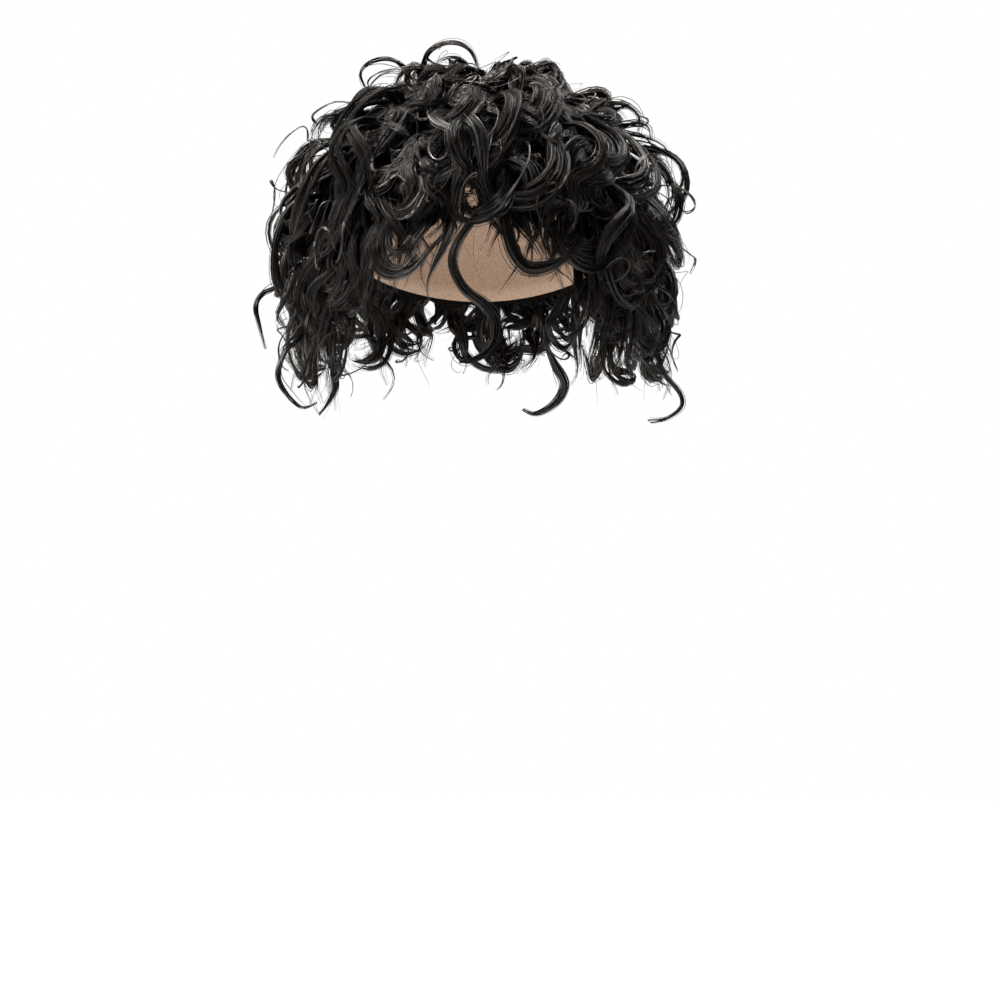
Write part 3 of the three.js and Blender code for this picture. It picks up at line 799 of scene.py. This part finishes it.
# %% [markdown]
# ## The hair's finish
#
# Dark hair shows little colour. What the eye reads is fine light lines on black: each strand catches
# the lamps on its own, and what lies between them stays dark. So the strands are glossy, some of them
# brown, and a few of them carry pale streaks of painted highlight; the cores under them are dull and
# get less of it. On the crown, where the light comes through, some of both get a warmer brown, which
# is painted light. The cores get fine grooves along their length from a noise that is stretched along
# the UV map, and the roots under them hardly reflect at all.

# %% Hair materials
BLACK = (0.0019, 0.0015, 0.0013, 1)
BROWN = (0.015, 0.0085, 0.0055, 1)
# the warmer brown of the painted light on the top of the crown
CROWN_LIGHT_BROWN = (0.034, 0.015, 0.009, 1)
# the colour of the painted highlight on a share of the strands
PAINTED_HIGHLIGHT = (0.052, 0.043, 0.036, 1)
HIGHLIGHT_STRANDS = 0.24
# heights at the top of the head over which the painted crown light comes in
CROWN_LIGHT_LEVELS = (-0.012, 0.012)
CORE_GROOVES = 18.0
STREAK_EDGES = (0.35, 0.65)


def hair_material(name, gloss_and_highlight, grooves):
    """Brown black, in a colour and a roughness that differ from strand to strand by the tone
    attribute and from place to place by fine streaks. The colour also holds painted highlight, pale
    streaks weighted by the gloss, and painted light, a warmer brown on the top of the crown. The
    grooves are the number of streaks around a tube, and more than one of them also dent its surface."""
    hair = Shader(name, IOR=1.5, Specular_IOR_Level=gloss_and_highlight, Specular_Tint=(1.0, 0.92, 0.85, 1))
    tone = hair.node("ShaderNodeAttribute", {"attribute_name": "tone"}, output=2)
    strand_map = hair.node("ShaderNodeUVMap", {"uv_map": "strand"})
    stretched = hair.node("ShaderNodeMapping", {}, {"Vector": strand_map, "Scale": (grooves, 1.6, 1)})
    moved_by_tone = hair.node("ShaderNodeVectorMath", {"operation": "ADD"}, {0: stretched, 1: tone * 40})
    streak = hair.node("ShaderNodeTexNoise", {"noise_dimensions": "2D"},
                       {"Vector": moved_by_tone, "Scale": 1.0, "Detail": 3.0})
    streaks = hair.ramp(streak, *STREAK_EDGES)
    drawn = hair.node("ShaderNodeMath", {"operation": "FRACT"}, {0: tone * 37.7})
    height = hair.node("ShaderNodeSeparateXYZ", {}, {"Vector": hair.object_place()}, output=2)
    # painted light: a mask over the top of the crown, where the light falls on the hair
    crown = hair.ramp(height, *CROWN_LIGHT_LEVELS)
    colour = hair.blend(BLACK, BROWN, hair.ramp(tone, 0.45, 1.0) * 0.8)
    # painted light on the crown: some hair turns a warmer brown
    colour = hair.blend(colour, CROWN_LIGHT_BROWN, crown * hair.ramp(drawn, 0.4, 0.9) * 0.5)
    # painted highlight: pale streaks on a share of the strands, as strong as the gloss
    colour = hair.blend(colour, PAINTED_HIGHLIGHT, hair.ramp(drawn, 1 - HIGHLIGHT_STRANDS, 1.0) * streaks * gloss_and_highlight)
    hair.feed(hair.surface.inputs["Base Color"], colour)
    hair.feed(hair.surface.inputs["Roughness"], streaks * 0.28 + drawn * 0.12 + 0.2)
    if grooves > 1:
        bump = hair.node("ShaderNodeBump", {}, {"Height": streak, "Strength": 1.0, "Distance": 0.003})
        hair.feed(hair.surface.inputs["Normal"], bump)
    return hair.material


# the gloss also weights the painted highlight: strong on the strands, weaker on the cores and roots
strand_finish = hair_material("hair_strand", 0.62, 1.0)
core_finish = hair_material("hair_core", 0.2, CORE_GROOVES)
roots_finish = hair_material("hair_roots", 0.06, CORE_GROOVES)
HAIR_FINISHES = [strand_finish, core_finish, roots_finish]
print("finishes:", [m.name for m in HAIR_FINISHES])

# %% [markdown]
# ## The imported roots
#
# Under the curls lie the roots, packed so tightly that no light comes back. A wall in the shape of
# the solid's inner part keeps any gap between the curls dark and lets nobody look through to the
# lace. It ends just below the rim of the base, among the hanging locks.

# %% Closed walls over the head
ROOT_SHARE = 0.72
ROOT_HEIGHTS = (0.009, 0.018)
ROOT_LOBES = 7
EDGE_LOBES = 23
UNDER_ROOTS = 0.0017
WALL_TONE = 0.1


def roots_height(azimuth, share):
    """A share of the solid's own height over the scalp, in lobes that sin(7 azimuth + 9 share) makes,
    and thinner from the base's rim down to the edge."""
    lobe = np.sin(np.radians(ROOT_LOBES * azimuth) + 9 * share)
    height = height_at(share, *ROOT_HEIGHTS) * (1 + 0.16 * ramp(0, 0.34, share) * lobe)
    return ROOT_SHARE * height * mix(1, 0.25, ramp(-0.18, 0.1, share - rim_share(azimuth)))


def edge_share(azimuth):
    """Where the roots end: just below the rim of the base, and lower in some lobes than in others."""
    return rim_share(azimuth) + 0.021 + 0.012 * np.sin(np.radians(EDGE_LOBES * azimuth))


def add_patch(bundle, azimuth, share, outer, inner, slot):
    """A closed wall over a patch of the head: an outer and an inner grid and the rim between them. The
    UV map has one unit for 9 degrees around and four for the arc down."""
    columns, rows = share.shape
    number = np.arange(columns * rows).reshape(columns, rows)
    a, b, c, d = number[:-1, :-1], number[:-1, 1:], number[1:, 1:], number[1:, :-1]
    edge = np.concatenate([number[0, :], number[1:, -1], number[-1, -2::-1], number[-2:0:-1, 0]])
    under = edge + columns * rows
    faces = np.concatenate([
        np.stack([a, b, c, d], -1).reshape(-1, 4),
        np.stack([a, d, c, b], -1).reshape(-1, 4) + columns * rows,
        np.stack([edge, under, np.roll(under, -1), np.roll(edge, -1)], -1),
    ])
    sheets = [head_points(azimuth, share, height)[0].reshape(-1, 3) for height in (outer, inner)]
    points = np.concatenate(sheets)
    places = np.tile(np.stack([azimuth / 9, share * 4], -1).reshape(-1, 2), (2, 1))
    bundle.add(points, [faces], [places[faces]], np.full(len(points), WALL_TONE), slot)


def add_dome(bundle, end, outer, inner, slot, columns=90, rows=20):
    """A closed thin dome from the top of the head down to a share for each azimuth: an outer and an
    inner grid, each closed by one point at the top, and the rim between them. The UV map is the dome
    seen from above, in shares of the crown arc."""
    azimuth = np.arange(columns) * 360 / columns
    share = np.linspace(0, 1, rows + 1)[1:, None] * end(azimuth)
    azimuth = np.broadcast_to(azimuth, share.shape)
    points, tops = [], []
    for height in (outer, inner):
        points.append(head_points(azimuth, share, height(azimuth, share))[0].reshape(-1, 3))
        tops.append([0, 0, height(0.0, 0.0)])
    number = np.arange(columns * rows).reshape(rows, columns)
    following, half = np.roll(number, -1, axis=1), columns * rows
    quads = np.stack([number[:-1], number[1:], following[1:], following[:-1]], -1).reshape(-1, 4)
    rim = np.stack([number[-1], number[-1] + half, following[-1] + half, following[-1]], -1)
    top = np.stack([np.full(columns, 2 * half), number[0], following[0]], -1)
    under_top = np.stack([np.full(columns, 2 * half + 1), following[0] + half, number[0] + half], -1)
    faces = [np.concatenate([quads, quads[:, ::-1] + half, rim]), np.concatenate([top, under_top])]
    turn = np.radians(azimuth)
    flat = np.stack([share * np.sin(turn), share * np.cos(turn)], -1).reshape(-1, 2)
    places = np.concatenate([flat, flat, [[0, 0], [0, 0]]])
    points = np.concatenate([*points, tops])
    bundle.add(points, faces, [places[f] for f in faces], np.full(len(points), WALL_TONE), slot)


print("roots at the side:", round(float(roots_height(90.0, FULL_HEIGHT)) * 1000, 1), "mm high")

# %% [markdown]
# ## Dressing the pieces
#
# The hair is kept in the same pieces as the solids: crown, front, two sides and back. A lock belongs
# to the piece over which its middle lies, so each piece of strands stands where its solid stands.
# The outer curls and the loose strands of a place are a second piece, which can be hidden on its own.

# %% Sort the locks
SECTORS = {
    "front_hair": (-50, 50), "left_hair": (50, 128), "right_hair": (-128, -50), "back_hair": (128, 232),
}
CROWN_EDGE = 0.34
UNDER_LOCK_WIDTH = 0.0024
UNDER_LOCK_DEPTH = 0.0013


def piece_over(azimuth, share):
    """The piece of hair over a place on the head."""
    if share < CROWN_EDGE:
        return "crown_hair"
    return next(name for name, (low, high) in SECTORS.items() if (azimuth - low) % 360 < high - low)


def sorted_routes(routes):
    """Routes by the piece that their middle lies over, each as arrays of points and normals."""
    found = {}
    for azimuth, share, height in routes:
        middle = len(share) // 2
        name = piece_over(azimuth[middle], share[middle])
        found.setdefault(name, []).append(head_points(azimuth, share, height))
    return {name: tuple(np.stack(part) for part in zip(*rows)) for name, rows in found.items()}


INNER_KINDS = [
    (winding_routes, {"tresses": {"count": 3, "width": 0.009, "depth": 0.004, "curl": 0.0052, "turns": 1.9,
                                  "stations": 42},
                      "count": 2, "width": 0.0031, "depth": 0.0012, "curl": 0.0007, "turns": 1.2,
                      "each": 5, "stray": 0.0005, "stations": 26}),
    (flat_routes, {"count": 6, "width": 0.0068, "depth": 0.002, "curl": 0.0009, "turns": 1.0,
                   "each": 8, "stray": 0.0004, "stations": 24, "uneven": 0.16}),
    (hanging_routes, {"count": 2, "width": 0.0034, "depth": 0.002, "curl": 0.0024, "turns": 1.6,
                      "each": 5, "stray": 0.0006, "stations": 20}),
]
OUTER_KINDS = [
    (fringe_routes, {"count": 3, "width": 0.005, "depth": 0.002, "curl": 0.0018, "turns": 1.4,
                     "each": 5, "stray": 0.0006, "stations": 17, "uneven": 0.2, "full": 1.6}),
    (middle_routes, {"count": 4, "width": 0.0056, "depth": 0.0018, "curl": 0.0009, "turns": 1.2,
                     "each": 5, "stray": 0.0005, "stations": 20, "uneven": 0.16}),
    (small_routes, {"count": 2, "width": 0.003, "depth": 0.0014, "curl": 0.0012, "turns": 1.2,
                    "each": 5, "stray": 0.0005, "stations": 19}),
]


def dress(bundles, kinds):
    """Adds every lock of these kinds to the bundle of the piece that it lies over."""
    for routes, row in kinds:
        for name, (points, outward) in sorted_routes(routes).items():
            add_hair(bundles[name], points, outward, row)


def dress_roots(bundles, locks):
    """Adds the short locks that lie on the roots, as cores alone."""
    for name, (points, outward) in sorted_routes(zip(*locks)).items():
        full = fullness(np.linspace(0, 1, points.shape[1])) * rng.uniform(0.7, 1.2, (len(points), 1))
        tones = rng.uniform(0, 1, len(points))
        wide, thick = UNDER_LOCK_WIDTH * full, UNDER_LOCK_DEPTH * full
        bundles[name].add_tubes(points, outward, wide, thick, CORE_SIDES, tones, CORE_SLOT)


def dress_loose(bundles, strands, each, size, apart):
    """Adds wisps to the bundles in the same way, each of a few strands that part from one another."""
    for name, (points, outward) in sorted_routes(zip(*strands)).items():
        points, outward = np.repeat(points, each, axis=0), np.repeat(outward, each, axis=0)
        parting = ramp(0, 0.6, np.linspace(0, 1, points.shape[1]))[:, None]
        shape = points.shape[:2]
        points = points + sum(wander(shape, apart)[..., None] * parting * axis for axis in np.eye(3))
        points = kept_off(points, STRAND_CLEARANCE)
        add_strands(bundles[name], points, outward, rng.uniform(0, 1, len(points)), size)


print("pieces of hair: crown_hair,", ", ".join(SECTORS))

# %% Roots and locks of each piece
CROWN_COLUMNS, CROWN_ROWS = 60, 8
PATCH_COLUMNS, PATCH_ROWS = 48, 12

inner = {name: Bundle() for name in ["crown_hair", *SECTORS]}
add_dome(inner["crown_hair"], lambda azimuth: np.full_like(azimuth, CROWN_EDGE), roots_height,
         lambda azimuth, share: np.full_like(share, UNDER_ROOTS), ROOTS_SLOT, CROWN_COLUMNS, CROWN_ROWS)
for name, (low, high) in SECTORS.items():
    u, v = np.meshgrid(np.linspace(0, 1, PATCH_COLUMNS), np.linspace(0, 1, PATCH_ROWS), indexing="ij")
    azimuth = mix(low, high, u)
    share = mix(CROWN_EDGE, edge_share(azimuth), v)
    under = np.full_like(share, UNDER_ROOTS)
    add_patch(inner[name], azimuth, share, roots_height(azimuth, share), under, ROOTS_SLOT)
dress_roots(inner, under_locks(UNDER_LOCKS))
dress(inner, INNER_KINDS)
for name, bundle in inner.items():
    piece = bundle.make(name.replace("_hair", "_curls"), HAIR_FINISHES)
    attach(piece, "root")
    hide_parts(name)

# %% Outer curls and loose strands of each piece
outer = {name: Bundle() for name in inner}
dress(outer, OUTER_KINDS)
dress_loose(outer, wisps(WISPS, reach=0.009), each=4, size=1.6, apart=0.00035)
dress_loose(outer, wisps(LOOSE_STRANDS, reach=0.006), each=1, size=0.8, apart=0.0)
dress_loose(outer, hairline_strands(HAIRLINE_STRANDS), each=1, size=0.6, apart=0.0)
for name, bundle in outer.items():
    piece = bundle.make(name.replace("_hair", "_wisps"), HAIR_FINISHES)
    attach(piece, "root")

# %% The free locks
for name, row in FREE_LOCKS.items():
    azimuth, share, out = spline(row["stations"], FREE_STATIONS).T
    points, outward = head_points(azimuth, share, HAIR_DEPTH * out)
    bundle = Bundle()
    add_hair(bundle, points[None], outward[None],
             {"width": FREE_LOCK_RADIUS * row["size"] * 0.5, "depth": 0.0005, "count": 2, "each": 10,
              "curl": 0.0003, "turns": 1.0, "stray": 0.0004, "stations": 34, "uneven": 0.05, "full": 1.9,
              "tip": row.get("tip", 0.6)})
    piece = bundle.make(f"{name}_strands", HAIR_FINISHES)
    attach(piece, "root")
    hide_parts(name)

# %% [markdown]
# ## The lace base
#
# The base shows from below, and its back half shows through the gap at the front. It is a thin dome
# of skin-toned lace, so its net and the dark knots of the hair are a pattern on its own UV map.

# %% Base
SKIN = (0.42, 0.29, 0.20, 1)
THREAD = (0.29, 0.19, 0.125, 1)
KNOT = (0.05, 0.034, 0.026, 1)
NET_SCALE = 150.0
KNOT_SCALE = 110.0

lace = Shader("skin_lace", Roughness=0.75)
lace_uv = lace.node("ShaderNodeUVMap", {"uv_map": "strand"})
net = lace.node("ShaderNodeTexVoronoi", {"feature": "DISTANCE_TO_EDGE"},
                {"Vector": lace_uv, "Scale": NET_SCALE})
knots = lace.node("ShaderNodeTexVoronoi", {"feature": "F1"}, {"Vector": lace_uv, "Scale": KNOT_SCALE})
lace_colour = lace.blend(SKIN, THREAD, lace.ramp(net, 0.16, 0.05))
lace_colour = lace.blend(lace_colour, KNOT, lace.ramp(knots, 0.26, 0.14) * 0.7)
lace.feed(lace.surface.inputs["Base Color"], lace_colour)

base = Bundle()
add_dome(base, rim_share, lambda azimuth, share: BASE_WALL + 0 * share, lambda azimuth, share: 0 * share, 0)
base_piece = base.make("lace_base", [lace.material])
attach(base_piece, "root")
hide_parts("base_cap")
